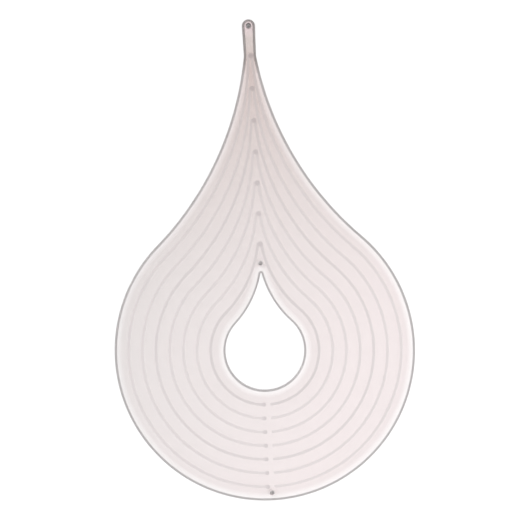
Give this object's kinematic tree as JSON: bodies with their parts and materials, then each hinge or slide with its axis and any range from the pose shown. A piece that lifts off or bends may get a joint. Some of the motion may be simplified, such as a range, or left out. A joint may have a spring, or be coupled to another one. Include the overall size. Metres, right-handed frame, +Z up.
{
  "type": "teardrop echo template",
  "caption": "Flat clear plastic drawing template with a teardrop edge, a smaller teardrop cut-out, nested engraved teardrop lines and pin holes on its centre line.",
  "frame": {"origin": "on the underside, in the middle of the template's length and width", "axes": "+Y along the centre line towards the tip, +Z up out of the engraved face, +X to the right of the centre line"},
  "size_m": [0.1396, 0.224, 0.003],
  "materials": {
    "sheet": "gloss",
    "line_paint": "matte",
    "dot_paint": "matte"
  },
  "bodies": {
    "root": {"template_sheet": "sheet", "echo_line_1": "line_paint", "echo_line_2": "line_paint", "echo_line_3": "line_paint", "echo_line_4": "line_paint", "echo_line_5": "line_paint", "echo_line_6": "line_paint", "echo_line_7": "line_paint", "apex_dots": "dot_paint", "base_dots": "dot_paint"}
  },
  "joints": []
}
